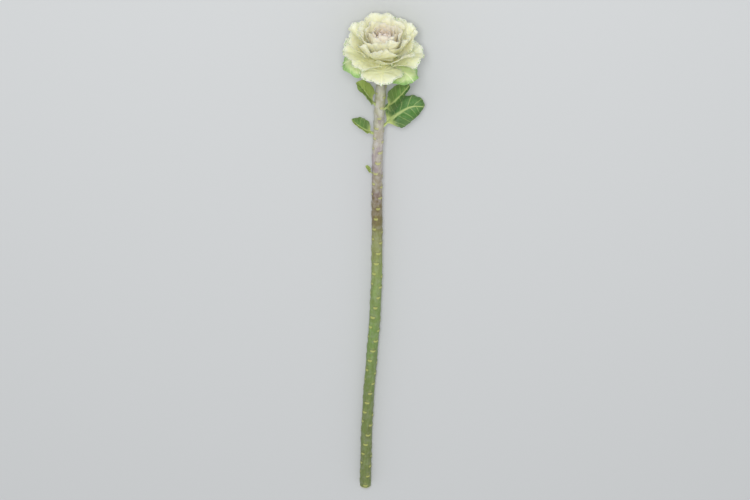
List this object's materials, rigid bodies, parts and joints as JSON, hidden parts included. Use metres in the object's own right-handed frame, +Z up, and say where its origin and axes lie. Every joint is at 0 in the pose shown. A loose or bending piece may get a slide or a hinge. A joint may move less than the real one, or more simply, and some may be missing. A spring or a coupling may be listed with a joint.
{
  "type": "ornamental kale stem",
  "caption": "One cut stem of white ornamental kale lying on its side: a scarred woody stem, a head of nested frilled leaves and small green neck leaves.",
  "frame": {"origin": "centre of the footprint, on the surface that the stem lies on", "axes": "+X from the cut end to the head, +Z up from the surface, +Y to the head's left seen from the cut end"},
  "size_m": [0.6928, 0.1064, 0.0962],
  "materials": {
    "heart": "satin",
    "inner": "satin",
    "white": "satin",
    "collar": "satin",
    "green": "satin",
    "stem": "satin"
  },
  "bodies": {
    "root": {"stem": "stem", "heart_bud": "heart", "head_leaf_01": "heart", "head_leaf_02": "heart", "head_leaf_03": "heart", "head_leaf_04": "heart", "head_leaf_05": "heart", "head_leaf_06": "inner", "head_leaf_07": "inner", "head_leaf_08": "inner", "head_leaf_09": "inner", "head_leaf_10": "inner", "head_leaf_11": "inner", "head_leaf_12": "inner", "head_leaf_13": "inner", "head_leaf_14": "white", "head_leaf_15": "white", "head_leaf_16": "white", "head_leaf_17": "white", "head_leaf_18": "white", "head_leaf_19": "white", "head_leaf_20": "white", "head_leaf_21": "white", "head_leaf_22": "white", "head_leaf_23": "white", "head_leaf_24": "white", "head_leaf_25": "white", "head_leaf_26": "white", "head_leaf_27": "white", "head_leaf_28": "white", "collar_leaf_01": "collar", "collar_leaf_02": "collar", "collar_leaf_03": "collar", "collar_leaf_04": "collar", "neck_leaf_left": "green", "neck_leaf_right": "green", "neck_leaf_far": "green", "stem_leaf": "green", "sprout": "green"}
  },
  "joints": []
}
